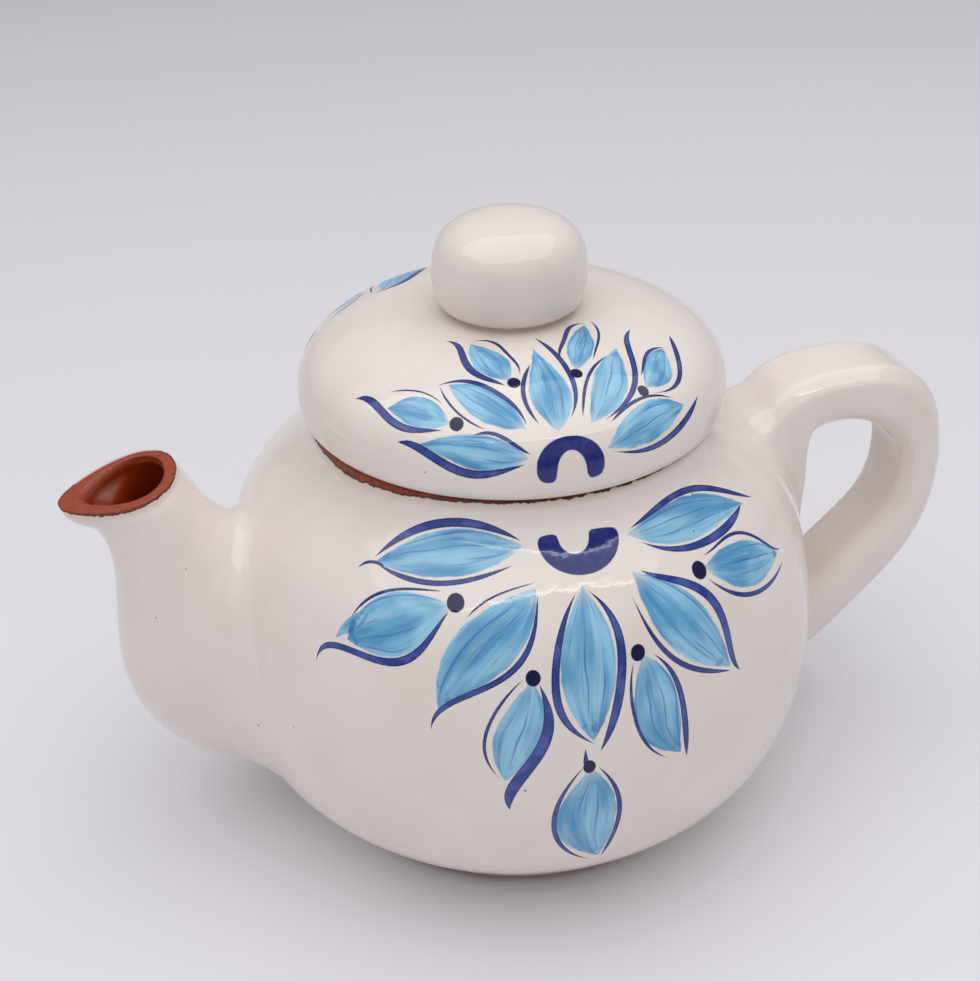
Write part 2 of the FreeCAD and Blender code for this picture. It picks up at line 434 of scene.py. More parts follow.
# %% [markdown]
# ## The spout
# The spout is an upswept oval horn. Seen from the side it has an outer edge that swells low and kicks out
# to a pouring lip, and an inner edge that rises out of a tight crotch. A curve with a round bevel could
# sweep a tube along one middle line, but these two edges part and close again, so each cross-section is an
# oval drawn between them.

# %% The spout's edges
def from_belly(points):
    """Side-view points, given as millimetres out from the belly and up from the table, towards the spout."""
    return [(-(belly_radius + out * MM), 0, up * MM) for out, up in points]


spout_outer = smooth(from_belly([(-16, 13), (18.7, 31.9), (25.3, 51.5), (23.2, 80), (24.3, 88.6),
                                 (27.2, 92.9), (31.6, 95.5), (32.7, 98.5)]))
spout_inner = smooth(from_belly([(-20, 86.5), (-11.9, 86.2), (-3.7, 89.7), (0.6, 95.3), (5.4, 104.1)]))
spout_halves = smooth([(0, 25), (0.5, 18.6), (1, 11.7)])
SPOUT_SIDES = 128
SPOUT_STATIONS = 240
spout_turn = np.linspace(0, 2 * math.pi, SPOUT_SIDES, endpoint=False)
pouring_point = 0.3
POINTED_LATE = 5


def oval(low, high, half, point):
    """An oval between two side-view points, twice half wide and pointed at the low end by a share."""
    middle = 0.5 * (low + high)
    reach = 0.5 * (low - high)
    width = half * np.sin(spout_turn) * (1 - point * np.cos(spout_turn))
    return middle + np.outer(np.cos(spout_turn), reach) + np.outer(width, (0, 1, 0))


def spout_ring(share, front=0.0, back=0.0, sides=0.0):
    """The spout's oval at a share of its length, drawn in at the front, the back and the sides."""
    low, high = spout_outer(share), spout_inner(share)
    inward = (high - low) / np.linalg.norm(high - low)
    half = spout_halves(share)[1] * MM
    point = pouring_point * share ** POINTED_LATE
    return oval(low + front * inward, high - back * inward, half - sides, point)


spout_length = np.linspace(1, 0, SPOUT_STATIONS)
spout_lines = np.stack([spout_ring(share) for share in spout_length], axis=1)
print("mouth", round(np.linalg.norm(spout_outer(1) - spout_inner(1)) / MM, 1), "mm long")

# %% [markdown]
# At the mouth the clay is cut off at a slant: a broad bare lip in front, a thin edge behind, and a bevel
# that leads down into the brown bore. A Solidify modifier would give a wall of one thickness, so the bore
# is made of ovals of its own, and its wall at the mouth is thick in front and thin behind.

# %% The spout's bore and rim
spout_wall = 4.5 * MM
lip_front = 4.8 * MM
lip_back = 2.7 * MM
lip_sides = 2.3 * MM
lip_bevel = 1.4 * MM
lip_round = 0.8 * MM
slight_bevel = 0.15
THINNED_LATE = 8
bore_top = 0.97
bore_depth = 0.4 * MM
BORE_STATIONS = 200
BORE_RINGS = 60


def bore_ring(share, bevel):
    """The bore at a share of the spout's length, wider by a bevel at the mouth."""
    near = share ** THINNED_LATE
    front, back, sides = (spout_wall + near * (lip - spout_wall) for lip in (lip_front, lip_back, lip_sides))
    slight = slight_bevel * bevel
    return spout_ring(share, front + bevel, back + slight, sides + slight)


def spout_rim(outer):
    """Rings from the bore over the bevelled, slanting cut to the spout's outer edge."""
    mouth_way = np.cross(spout_outer(1) - spout_inner(1), (0, 1, 0))
    mouth_way /= np.linalg.norm(mouth_way)
    mouth_way *= math.copysign(1, mouth_way[2])
    bevel_foot = bore_ring(1.0, lip_bevel) - 0.9 * lip_bevel * mouth_way
    bevel_top = bore_ring(1.0, 0) - 0.25 * lip_round * mouth_way
    flat_in = bore_ring(1.0, -0.5 * lip_round)
    flat_out = outer + (flat_in - outer) * (lip_round / np.linalg.norm(flat_in - outer, axis=1))[:, None]
    flats = [flat_in + (flat_out - flat_in) * t for t in (0, 0.33, 0.66, 1)]
    bevel = [bevel_foot, 0.5 * (bevel_foot + bevel_top), bevel_top]
    eased = 0.5 * (flat_out + outer) - 0.105 * lip_round * mouth_way
    return bevel + flats + [eased]


bore_length = np.linspace(bore_top, 0, BORE_STATIONS)
bore_lines = np.stack([bore_ring(share, lip_bevel) for share in bore_length], axis=1)
bore_stop = np.argmax(off_body(bore_lines) < -bore_depth, axis=1)
bore = []
for share in np.linspace(1, 0, BORE_RINGS):
    bore.append(np.array([line[int(round(share * stop))] for line, stop in zip(bore_lines, bore_stop)]))
print("the bore has", len(bore), "rings, the deepest", int(bore_stop.max()), "stations down")

# %% [markdown]
# The skin goes up the bore, over the rim and down the outside to the joint. The pot was dipped askew: on
# the far side of the mouth the glaze reaches over the edge of the rim, and on the near side it stops below
# it.

# %% The spout's skin
rim_bare = 4.0
spout_joint = (8 + 5 * np.cos(spout_turn)) * MM
spout_outside = luted(spout_lines, spout_joint)[0]
rim = spout_rim(spout_outside[0])
tuck = [0.5 * (spout_outside[-1] + bore[0])]
spout_rings = bore + rim + spout_outside + tuck + [bore[0]]
on_rim = len(rim) - 2
far_side = np.sin(spout_turn)
glaze_edge = 0.35 - 0.75 * far_side
spout_bare = [FULLY_BARE] * len(bore) + [rim_bare] * on_rim
spout_bare += [2.4 - 2 * far_side, 1.2 - 1.6 * far_side]
for ring in spout_outside:
    spout_bare.append(glaze_edge - np.linalg.norm(ring - spout_outside[0], axis=1) / MM)
spout_bare += [FULLY_GLAZED, FULLY_BARE]
spout_inside = [1.0] * len(bore) + [0.6, 0.3] + [0.0] * (on_rim + len(spout_outside)) + [0.0, 1.0]
spout = skin("teapot_spout", spout_rings, spout_bare, spout_inside)
dress(spout, "spout", "pot")

# %% [markdown]
# ## The handle
# The handle is a strap of clay, wider than thick, with softly chamfered edges, bent round two fingers and
# luted on at both ends. A bevelled curve would give the strap but not its joints, so it is built from
# lengthwise lines like the spout, and both of its ends are laid onto the body.

# %% The handle's section and route
# The strap's outer and inner edge, seen from the side: x and height of either, in millimetres
HANDLE_EDGES = (
    (52, 90, 68, 56), (59.5, 96, 75, 70), (64, 100.2, 75.6, 78), (68.6, 104, 75.2, 85.2),
    (73.5, 106.2, 76, 90.4), (79, 107.2, 79.6, 92.4), (86.5, 107.6, 85, 92.9), (95.2, 106.8, 90.6, 92),
    (102.6, 103.9, 96, 89.2), (109, 98, 100.6, 84.8), (112.8, 88.5, 102.5, 78.8), (114.4, 76, 102.4, 72),
    (113, 62.5, 100.4, 64.8), (107.4, 50, 95.2, 57.8), (97.3, 38, 87.6, 50.4), (82.5, 23.8, 73.5, 37.6),
    (54, 9.5, 48, 26),
)
handle_half_width = 11.3 * MM
handle_half_thick = 6 * MM
handle_chamfer = 3.5 * MM
handle_round = 1.5 * MM
root_growth = 0.2
ROOTS_ONLY = 8
HANDLE_SIDES = 120
HANDLE_STATIONS = 480


def strap_section():
    """Even offsets across and out from the strap's middle: a rectangle with chamfered, rounded edges."""
    wide, thick, cut = handle_half_width, handle_half_thick, handle_chamfer
    corners = [(wide, 0), (wide, thick - cut), (wide - cut, thick), (cut - wide, thick),
               (-wide, thick - cut), (-wide, cut - thick), (cut - wide, -thick), (wide - cut, -thick),
               (wide, cut - thick), (wide, 0)]
    outline = rounded(corners, [handle_round] * (len(corners) - 2))
    walked = np.concatenate([[0], np.cumsum(np.linalg.norm(np.diff(outline, axis=0), axis=1))])
    even = np.linspace(0, walked[-1], HANDLE_SIDES, endpoint=False)
    return np.column_stack([np.interp(even, walked, outline[:, 0]), np.interp(even, walked, outline[:, 1])])


def strap_lines(count):
    """Lengthwise lines of the strap. Its edges keep their chamfer where the roots grow thick."""
    strap = strap_section()
    stations = np.linspace(0, 1, count)
    edges = smooth(HANDLE_EDGES)(stations) * MM
    nothing = np.zeros(count)
    outer = np.column_stack([edges[:, 0], nothing, edges[:, 1]])
    inner = np.column_stack([edges[:, 2], nothing, edges[:, 3]])
    half = 0.5 * np.linalg.norm(outer - inner, axis=1)
    way = (outer - inner) / (2 * half[:, None])
    from_edge = handle_half_thick - np.abs(strap[:, 1])
    at_edge = np.minimum(from_edge, handle_chamfer)
    stretch = (half - handle_chamfer) / (handle_half_thick - handle_chamfer)
    out = np.sign(strap[:, 1])[:, None] * (half - at_edge[:, None] - (from_edge - at_edge)[:, None] * stretch)
    growth = 1 + root_growth * (2 * stations - 1) ** ROOTS_ONLY
    return (0.5 * (outer + inner) + out[:, :, None] * way
            + (strap[:, 0, None] * growth)[:, :, None] * np.array([0, 1, 0]))


handle_lines = strap_lines(HANDLE_STATIONS)
print("strap", round(2 * handle_half_width / MM, 1), "by", round(2 * handle_half_thick / MM, 1), "mm")

# %% [markdown]
# The strap is parted at its middle. Each half is luted on by its own end, the upper one with a wider joint,
# and the halves share their first ring.

# %% The handle's skin
handle_joint_top = 7.5 * MM
handle_joint_low = 5 * MM
handle_root = 1.5 * MM
half = HANDLE_STATIONS // 2
upper_rings, upper_meets = luted(handle_lines[:, half::-1], handle_joint_top)
lower_rings, lower_meets = luted(handle_lines[:, half:], handle_joint_low)


def root_end(meets):
    """The hidden point that closes a root inside the body's wall."""
    foot, normal = on_body(meets.mean(axis=0))
    return foot - handle_root * normal


handle_rings = [root_end(upper_meets)] + upper_rings[::-1] + lower_rings[1:] + [root_end(lower_meets)]
handle = skin("teapot_handle", handle_rings, [FULLY_GLAZED] * len(handle_rings), [0.0] * len(handle_rings))
dress(handle, "handle", "pot")

# %% [markdown]
# ## The lid
# The lid is a full, hollow dome with a rolled edge, turned like the body. A flange under it drops into the
# mouth and keeps it from sliding off when tea is poured. The dome is fuller than half an ellipse, so its
# outline is a superellipse: one exponent says how full it is.

# %% The lid's outline and skin
lid_radius = lid_high.x
lid_edge = 3.4 * MM
lid_pad = 11 * MM
lid_wall = 5 * MM
lid_roll = 3.1 * MM
flange_gap = 1 * MM
flange_wall = 4 * MM
DOME_FULLNESS = 2.8
LID_POINTS = 90
HOLLOW_POINTS = 50
ROLL_POINTS = 14
LID_SIDES = 224
lid_top = lid_high.z
flange_foot = lid_low.z
dome_base = seat_height + lid_edge


def dome(radius, base, rise, count):
    """A full dome from its widest line to its top."""
    angle = np.linspace(0, math.pi / 2, count)
    out = radius * np.cos(angle).clip(0) ** (2 / DOME_FULLNESS)
    up = rise * np.sin(angle) ** (2 / DOME_FULLNESS)
    return np.column_stack([out, base + up])


dome_rise = (lid_top - dome_base) / (1 - (lid_pad / lid_radius) ** DOME_FULLNESS) ** (1 / DOME_FULLNESS)
lid_outside = dome(lid_radius, dome_base, dome_rise, LID_POINTS)
lid_outside = lid_outside[lid_outside[:, 0] > lid_pad]
hollow_base = seat_height + lid_wall
lid_inside = dome(lid_radius - lid_wall, hollow_base, lid_top - lid_wall - hollow_base, HOLLOW_POINTS)
roll_turn = np.linspace(0, math.pi / 2, ROLL_POINTS)[:-1]
lid_rolled = np.column_stack([lid_radius - lid_roll + lid_roll * np.sin(roll_turn),
                              dome_base - lid_edge * np.cos(roll_turn)])
flange_out = mouth_radius - flange_gap
flange_in = flange_out - flange_wall
underside = rounded(
    [lid_inside[0], (flange_in, hollow_base), (flange_in, flange_foot), (flange_out, flange_foot),
     (flange_out, seat_height), lid_rolled[0]],
    [edge_round, edge_round, edge_round, 0.4 * edge_round])
lid_profile = np.concatenate([lid_inside[::-1], underside[1:-1], lid_rolled, lid_outside, [(0, lid_top)]])
lid_under_count = len(lid_inside) + len(underside) - 2
lid_rings = turned(lid_profile, LID_SIDES)
lid_glaze_line = seat_height + 0.1 * MM
lid_bare = [FULLY_BARE] * lid_under_count
for radius, height in lid_profile[lid_under_count:]:
    lid_bare.append((lid_glaze_line - height) / MM if radius > lid_pad else FULLY_GLAZED)
lid = skin("teapot_lid", lid_rings, lid_bare, [float(i < lid_under_count) for i in range(len(lid_rings))])
dress(lid, "lid", "lid_with_knob")

# %% [markdown]
# ## The knob
# The knob is a squat, full bun of clay, luted to the middle of the lid on a broad foot. Its underside is
# nearly as full as its crown, so both are superellipses, and a narrow hollow bend, where the glaze gathers,
# joins the foot to the lid.

# %% The knob's skin
knob_radius = knob_high.x
knob_base = knob_low.z
knob_belly = 8.3 * MM
knob_lift = 0.9 * MM
knob_foot = 13.8 * MM
UNDER_FULLNESS = 2.6
CROWN_POINTS = 60
UNDER_POINTS = 24
KNOB_SIDES = 160
knob_rise = knob_high.z - knob_base - knob_belly
crease = 1.4 * MM
fillet_sunk = 0.05 * MM
knob_buried = 0.4 * MM
knob_root = 1 * MM
crown = dome(knob_radius, knob_base + knob_belly, knob_rise, CROWN_POINTS)
under_turn = np.linspace(0, math.pi / 2, UNDER_POINTS)
under_reach = knob_radius - knob_foot
neck = np.column_stack([
    knob_foot + under_reach * np.sin(under_turn) ** (2 / UNDER_FULLNESS),
    knob_base + knob_belly - (knob_belly - knob_lift) * np.cos(under_turn).clip(0) ** (2 / UNDER_FULLNESS)])
fillet_out = knob_foot + 1.5 * crease
lid_slope = np.interp(fillet_out, lid_outside[::-1, 0], lid_outside[::-1, 1])
fillet_end = (fillet_out, lid_slope - fillet_sunk)
fillet = rounded([neck[0], (knob_foot + 0.1 * crease, knob_base), fillet_end], [0.5 * crease], 8)
foot_of_knob = [(0, knob_base - knob_root), (fillet_out + knob_buried, lid_slope - knob_buried)]
knob_profile = np.concatenate([foot_of_knob, fillet[::-1], neck[1:], crown[1:-1], [(0, knob_high.z)]])
knob_rings = turned(knob_profile, KNOB_SIDES)
knob = skin("teapot_lid_knob", knob_rings, [FULLY_GLAZED] * len(knob_rings), [0.0] * len(knob_rings))
dress(knob, "lid_knob", "lid_with_knob")

# %% [markdown]
# ## Node helpers
# The finishes are all worked out by nodes, with no picture anywhere. Their colours are written as a
# painter's chart gives them, and turned into the linear light that Blender's shaders work in.

# %% Colours
def srgb(red, green, blue):
    """A colour as a painter's chart gives it, from 0 to 255, as the linear light that shaders use."""
    shares = [c / 255 for c in (red, green, blue)]
    return tuple(((c + 0.055) / 1.055) ** 2.4 if c > 0.04 else c / 12.92 for c in shares) + (1,)


print("mid grey is", [round(c, 2) for c in srgb(128, 128, 128)[:3]])

# %% [markdown]
# A short helper turns a line of arithmetic into Math and Vector Math nodes, so that the materials below
# read like formulas. The same nodes could be placed by hand, but there would be hundreds of them.

# %% Arithmetic as nodes
class Sheet:
    """Adds nodes to a tree. Every argument may be a number, a tuple or another node's output."""

    def __init__(self, tree):
        self.tree = tree

    def node(self, kind, inputs=(), **settings):
        made = self.tree.nodes.new(kind)
        for name, value in settings.items():
            setattr(made, name, value)
        for socket, value in (inputs.items() if isinstance(inputs, dict) else enumerate(inputs)):
            self.put(made.inputs[socket], value)
        return made

    def put(self, socket, value):
        if isinstance(value, bpy.types.NodeSocket):
            self.tree.links.new(value, socket)
        else:
            socket.default_value = value

    def math(self, operation, *inputs, clamp=False):
        return self.node("ShaderNodeMath", inputs, operation=operation, use_clamp=clamp).outputs[0]

    def vector(self, operation, *inputs):
        made = self.node("ShaderNodeVectorMath", operation=operation)
        for socket, value in zip(made.inputs, inputs):
            self.put(socket, value)
        scalar = operation in ("DOT_PRODUCT", "LENGTH", "DISTANCE")
        return made.outputs["Value" if scalar else "Vector"]

    def step(self, value, low, high):
        """A soft step from 0 at low to 1 at high."""
        made = self.node("ShaderNodeMapRange", {0: value, 1: low, 2: high}, interpolation_type="SMOOTHSTEP")
        return made.outputs[0]

    def mix(self, share, first, second):
        """Two colours, mixed."""
        made = self.node("ShaderNodeMix", data_type="RGBA")
        for socket, value in zip((made.inputs[0], made.inputs[6], made.inputs[7]), (share, first, second)):
            self.put(socket, value)
        return made.outputs[2]

    def noise(self, place, scale, detail=2.0, roughness=0.5):
        """Soft noise around a half, on a place in millimetres."""
        made = self.node("ShaderNodeTexNoise", {"Vector": place, "Scale": scale, "Detail": detail,
                                                "Roughness": roughness})
        return made.outputs["Fac"]

    def split(self, vector):
        return self.node("ShaderNodeSeparateXYZ", [vector]).outputs

    def join(self, x, y, z=0.0):
        return self.node("ShaderNodeCombineXYZ", [x, y, z]).outputs[0]


print("a sheet has", [name for name in vars(Sheet) if not name.startswith("_")])

# %% [markdown]
# What comes up many times, such as a brush stroke, is made once as a node group and placed wherever it is
# needed. Places on the pot are measured in millimetres from the object's own coordinates, so that paint and
# glaze stay put when the lid is lifted.

# %% Groups of nodes
def new_group(name, inputs, outputs):
    """An empty node group. Gives its sheet, its inputs and its outputs."""
    tree = bpy.data.node_groups.new(name, "ShaderNodeTree")
    for way, sockets in (("INPUT", inputs), ("OUTPUT", outputs)):
        for label, kind in sockets:
            tree.interface.new_socket(label, in_out=way, socket_type="NodeSocket" + kind)
    return Sheet(tree), tree.nodes.new("NodeGroupInput").outputs, tree.nodes.new("NodeGroupOutput").inputs


def use(sheet, tree, inputs):
    """Places a group on a sheet and gives its outputs."""
    made = sheet.node("ShaderNodeGroup", node_tree=tree)
    for label, value in inputs.items():
        sheet.put(made.inputs[label], value)
    return made.outputs


def in_millimetres(sheet):
    """The place on the piece, in millimetres, which moves with the piece."""
    spot = sheet.node("ShaderNodeTexCoord").outputs["Object"]
    return sheet.vector("MULTIPLY", spot, (1 / MM, 1 / MM, 1 / MM))


print("node groups so far:", len(bpy.data.node_groups))

# %% [markdown]
# ## The painter's brush
# The flower is a traditional folk ornament: petals fanned round a horseshoe, each a wash of thin blue with
# a darker line down either side, laid on in one pull of a loaded brush. A stroke here is a line from its
# start to its end, bent through a few points, full along most of its length and pointed at the ends. The
# group below gives, for any place on the pot's surface, how deep it lies inside the stroke, in millimetres.
# One value is enough for a soft edge, for the ink that gathers along it, and to lay many strokes over each
# other by keeping the deepest.

# %% One brush stroke
WAY_SOCKETS = [(label, "Vector") for label in ("Place", "Start", "Along", "Across")]


def on_the_way(sheet, have):
    """A place's share along the way, millimetres aside, a lens that is 0 at both ends, and the held share."""
    here = sheet.vector("SUBTRACT", have["Place"], have["Start"])
    way = sheet.vector("DOT_PRODUCT", here, have["Along"])
    aside = sheet.vector("DOT_PRODUCT", here, have["Across"])
    lens = sheet.math("MULTIPLY", way, sheet.math("SUBTRACT", 1.0, way))
    held = sheet.math("ADD", way, 0.0, clamp=True)
    return way, aside, lens, held


def stroke_group():
    """The ink of one stroke, as a node group."""
    sheet, have, give = new_group(
        "brush stroke", WAY_SOCKETS + [("Bend", "Vector"), ("Half", "Float"), ("Heavy", "Float")],
        [("Ink", "Float")])
    way, aside, lens, held = on_the_way(sheet, have)
    first, second, third = sheet.split(have["Bend"])
    curve = sheet.math("MULTIPLY_ADD", sheet.math("MULTIPLY_ADD", third, way, second), way, first)
    away = sheet.math("ABSOLUTE", sheet.math("SUBTRACT", aside, sheet.math("MULTIPLY", curve, lens)))
    thin = sheet.math("MULTIPLY_ADD", lens, -4.0, 1.0)
    full = sheet.math("MULTIPLY_ADD", thin, sheet.math("MULTIPLY", thin, -1.0), 1.0)
    lean = sheet.math("MULTIPLY_ADD", sheet.math("MULTIPLY_ADD", held, 2.0, -1.0), have["Heavy"], 1.0)
    thick = sheet.math("MULTIPLY", sheet.math("MULTIPLY", full, lean), have["Half"])
    sheet.put(give["Ink"], sheet.math("SUBTRACT", thick, away))
    return sheet.tree


STROKE = stroke_group()
print("a stroke takes", len(STROKE.nodes), "nodes")

# %% [markdown]
# A painted line is known by the points that it passes through. They are turned into the bend that the group
# wants: how far aside the line runs from the straight way between its ends. Solving for it here, once,
# keeps the search for the nearest point of a curve out of the shader.

# %% A stroke through points
def chord(start, end):
    """The straight way from start to end: a share along it, and millimetres across it."""
    start, end = np.array(start, float), np.array(end, float)
    way = end - start
    length = np.linalg.norm(way)
    return start, way / length ** 2, np.array([-way[1], way[0]]) / length


def bend_through(start, end, via):
    """How a line from start to end bends aside to pass through the points in between."""
    start, along, across = chord(start, end)
    shares = np.array([(np.array(p) - start) @ along for p in via])
    asides = np.array([(np.array(p) - start) @ across for p in via])
    table = (shares * (1 - shares))[:, None] * shares[:, None] ** np.arange(len(via))
    return tuple(np.linalg.solve(table, asides)) + (0.0,) * (3 - len(via))


def way_inputs(place, start, end):
    """What a group has to know of a place and of the straight way from start to end."""
    flat = [(float(pair[0]), float(pair[1]), 0.0) for pair in chord(start, end)]
    return dict(zip(("Place", "Start", "Along", "Across"), [place] + flat))


loaded_brush = 1.08


def stroke(sheet, place, points, half, heavy):
    """The ink of one stroke through its points."""
    start, *via, end = points
    return use(sheet, STROKE, way_inputs(place, start, end) | {
        "Bend": bend_through(start, end, via), "Half": half * loaded_brush, "Heavy": heavy})["Ink"]


print("bend of a plain arc:", [round(b, 2) for b in bend_through((0, 0), (10, 0), [(5, 2)])])

# %% [markdown]
# The wash inside a petal is wetter paint. It lies between two bent lines that start together at the petal's
# foot and meet at its tip. The group gives its depth like a stroke's, and a flow: where a place lies
# between the two sides and along the petal. Streaks drawn in the flow fan out and close again with the
# petal, as a brush's hairs do.

# %% One wash of paint
flow_margin = 0.6


def wash_group():
    """The depth and the flow of one wash, as a node group."""
    sheet, have, give = new_group(
        "petal wash", WAY_SOCKETS + [("Left", "Vector"), ("Right", "Vector"), ("Seed", "Float")],
        [("Depth", "Float"), ("Flow", "Vector")])
    way, aside, lens, held = on_the_way(sheet, have)

    def side(label):
        first, second = sheet.split(have[label])[:2]
        return sheet.math("MULTIPLY", sheet.math("MULTIPLY_ADD", second, held, first), lens)

    left, right = side("Left"), side("Right")
    from_left = sheet.math("SUBTRACT", left, aside)
    from_right = sheet.math("SUBTRACT", aside, right)
    depth = sheet.math("MINIMUM", from_left, from_right)
    between = sheet.math("DIVIDE", from_right, sheet.math("SUBTRACT", left, right))
    inside = sheet.math("GREATER_THAN", depth, -flow_margin)
    flow = sheet.join(between, way, have["Seed"])
    flow = sheet.vector("MULTIPLY", flow, sheet.join(inside, inside, inside))
    sheet.put(give["Depth"], depth)
    sheet.put(give["Flow"], flow)
    return sheet.tree


WASH = wash_group()


def wash(sheet, place, foot, tip, left, right, seed):
    """The depth and the flow of one petal's wash."""
    return use(sheet, WASH, way_inputs(place, foot, tip) | {
        "Left": bend_through(foot, tip, left), "Right": bend_through(foot, tip, right), "Seed": seed})


def deepest(sheet, depths):
    """The largest of many depths."""
    total = depths[0]
    for depth in depths[1:]:
        total = sheet.math("MAXIMUM", total, depth)
    return total


print("a wash takes", len(WASH.nodes), "nodes")

# %% [markdown]
# ## Where the flower sits
# The painter works on a round pot, so the flower needs a flat chart of its surface. Seen from a point on
# the pot's axis, the body is nearly a ball, and so is the lid seen from a point well below it. A map that
# keeps true distances from the flower's own middle, like a globe's map round its pole, spreads the petals
# as they were painted. An unwrapped UV map could do it too, but would need a seam. The map is worked out
# from the object's coordinates. The back of the pot is folded onto the front, so it carries the same flower
# in mirror image; the lid's back flower is larger and leaves out the upper row of small petals.

# %% A flat chart of the pot's surface
def chart(sheet, centre_height, facing_turn, lift, ball_radius, back_size):
    """Millimetres right of and above the flower's middle, and 1 on the pot's front or -1 on its back.

    The back carries the flower in mirror image, larger by a factor.
    """
    x, y, z = sheet.split(in_millimetres(sheet))
    turn, rise = math.radians(facing_turn), math.radians(lift)
    front = np.array([math.sin(turn), -math.cos(turn), 0])
    right = np.array([math.cos(turn), math.sin(turn), 0])
    up = np.array([0, 0, 1])
    towards = math.cos(rise) * front + math.sin(rise) * up
    upward = -math.sin(rise) * front + math.cos(rise) * up
    side = sheet.math("SIGN", sheet.math("MULTIPLY", y, -1.0))
    folded = sheet.join(x, sheet.math("MULTIPLY", y, side), z)
    ray = sheet.vector("NORMALIZE", sheet.vector("SUBTRACT", folded, (0, 0, centre_height)))
    angle = sheet.math("ARCCOSINE", sheet.vector("DOT_PRODUCT", ray, tuple(towards)))
    shrink = 0.5 * (1 - 1 / back_size)
    size = sheet.math("MULTIPLY", sheet.math("MULTIPLY_ADD", side, shrink, 1 - shrink), ball_radius)
    spread = sheet.math("DIVIDE", sheet.math("MULTIPLY", angle, size), sheet.math("SINE", angle))
    place = sheet.join(sheet.math("MULTIPLY", sheet.vector("DOT_PRODUCT", ray, tuple(right)), spread),
                       sheet.math("MULTIPLY", sheet.vector("DOT_PRODUCT", ray, tuple(upward)), spread))
    return place, side


BODY_CHART = dict(centre_height=belly_height / MM, facing_turn=-2.5, lift=45.2, ball_radius=77.0,
                  back_size=1.0)
LID_CHART = dict(centre_height=58.7, facing_turn=-1.7, lift=53.4, ball_radius=74.5, back_size=1.22)
print("the body's ball fits the belly to", round(BODY_CHART["ball_radius"] - belly_radius / MM, 1), "mm")

# %% [markdown]
# ## The two flowers
# The petals are listed as the painter would point at them, in millimetres from the middle of each flower:
# right and up. Each has its wash (foot, tip, and two points on either side) and its strokes (points along
# the line, half the thickness, and how much heavier the far end is). Small petals start at a round dab of
# nearly black ink.

# %% The flower on the body
BODY_WASHES = (
    ((-9.5, 2.6), (-42.5, 5.8), ((-20, -1.4), (-33, 0.5)), ((-20, 8.3), (-33, 9.2))),
    ((-26.5, -7), (-51.5, -10), ((-32, -13), (-43, -15.5)), ((-35, -2.7), (-45, -3.2))),
    ((-45, -4.5), (-54.5, -9), ((-49, -8.2),), ((-50.5, -5.4),)),
    ((-8.6, -6.6), (-33.6, -30), ((-12, -17.3), (-23, -25.6)), ((-18, -8.8), (-30.5, -18))),
    ((-12.3, -25.5), (-21, -49.3), ((-10, -34), (-14, -43.3)), ((-19, -32), (-23, -42))),
    ((1.2, -7.6), (0.4, -42.2), ((5.7, -18), (5.6, -30)), ((-4.7, -18), (-5.8, -30))),
    ((-0.5, -48.6), (3.2, -79.8), ((5.4, -57), (5.7, -70)), ((-7.5, -57), (-7.6, -71))),
    ((12.2, -23.6), (23.2, -49.4), ((18.8, -29), (22.3, -40)), ((9.8, -33.5), (13.2, -44.8))),
    ((12.6, -6.2), (36.8, -30), ((24, -11), (32.3, -20.5)), ((15.5, -18), (25, -27.2))),
    ((30.2, -7), (56.5, -4), ((37, -2.6), (49, -1.4)), ((36, -10.9), (48, -10.9))),
    ((13.2, 2), (47.8, 8.4), ((23, 7.8), (37, 10.8)), ((22, -1), (36, 1.9))),
)
